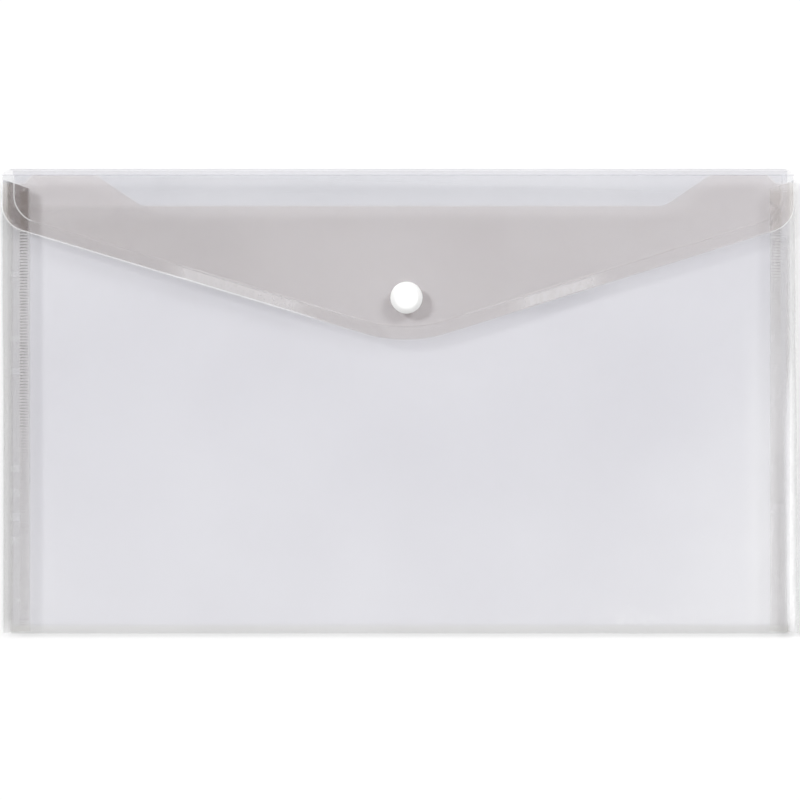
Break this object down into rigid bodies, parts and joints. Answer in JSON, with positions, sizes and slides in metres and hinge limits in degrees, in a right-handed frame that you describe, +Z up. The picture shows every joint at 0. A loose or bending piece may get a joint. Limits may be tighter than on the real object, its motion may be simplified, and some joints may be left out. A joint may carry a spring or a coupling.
{
  "type": "clear document envelope",
  "caption": "Clear plastic document envelope: a shallow pocket with welded side gussets, a thumb notch, a creased spine and a pointed flap closed by a press stud.",
  "frame": {"origin": "centre of the back panel's outer face, at the bottom of the envelope as it lies on its back", "axes": "+X along the pocket's long side, +Y from the bottom fold to the back crease, +Z up through the front panel"},
  "size_m": [0.241, 0.1413, 0.0106],
  "materials": {
    "clear_film": "clear, faintly grey polypropylene film, smooth",
    "weld_film": "the same film, pressed into fine cross ribs by the weld",
    "snap_white": "white moulded plastic, satin gloss"
  },
  "bodies": {
    "pocket": {"back_panel": "clear_film", "bottom_fold": "clear_film", "front_panel": "clear_film", "left_gusset": "clear_film", "right_gusset": "clear_film", "left_weld_seam": "weld_film", "right_weld_seam": "weld_film", "pocket_snap_base": "snap_white", "pocket_snap_stud": "snap_white"},
    "spine": {"spine": "clear_film"},
    "flap": {"flap": "clear_film", "flap_snap_socket": "snap_white", "flap_snap_cap": "snap_white"}
  },
  "joints": [
    {"name": "spine_fold", "type": "hinge", "parent": "pocket", "child": "spine", "pos_m": [-0.0006, 0.07055, 0.00015], "axis": [-1, 0, 0], "range_deg": [0, 103]},
    {"name": "flap_fold", "type": "hinge", "parent": "spine", "child": "flap", "pos_m": [-0.0006, 0.06818, 0.00842], "axis": [-1, 0, 0], "range_deg": [0, 74]}
  ]
}
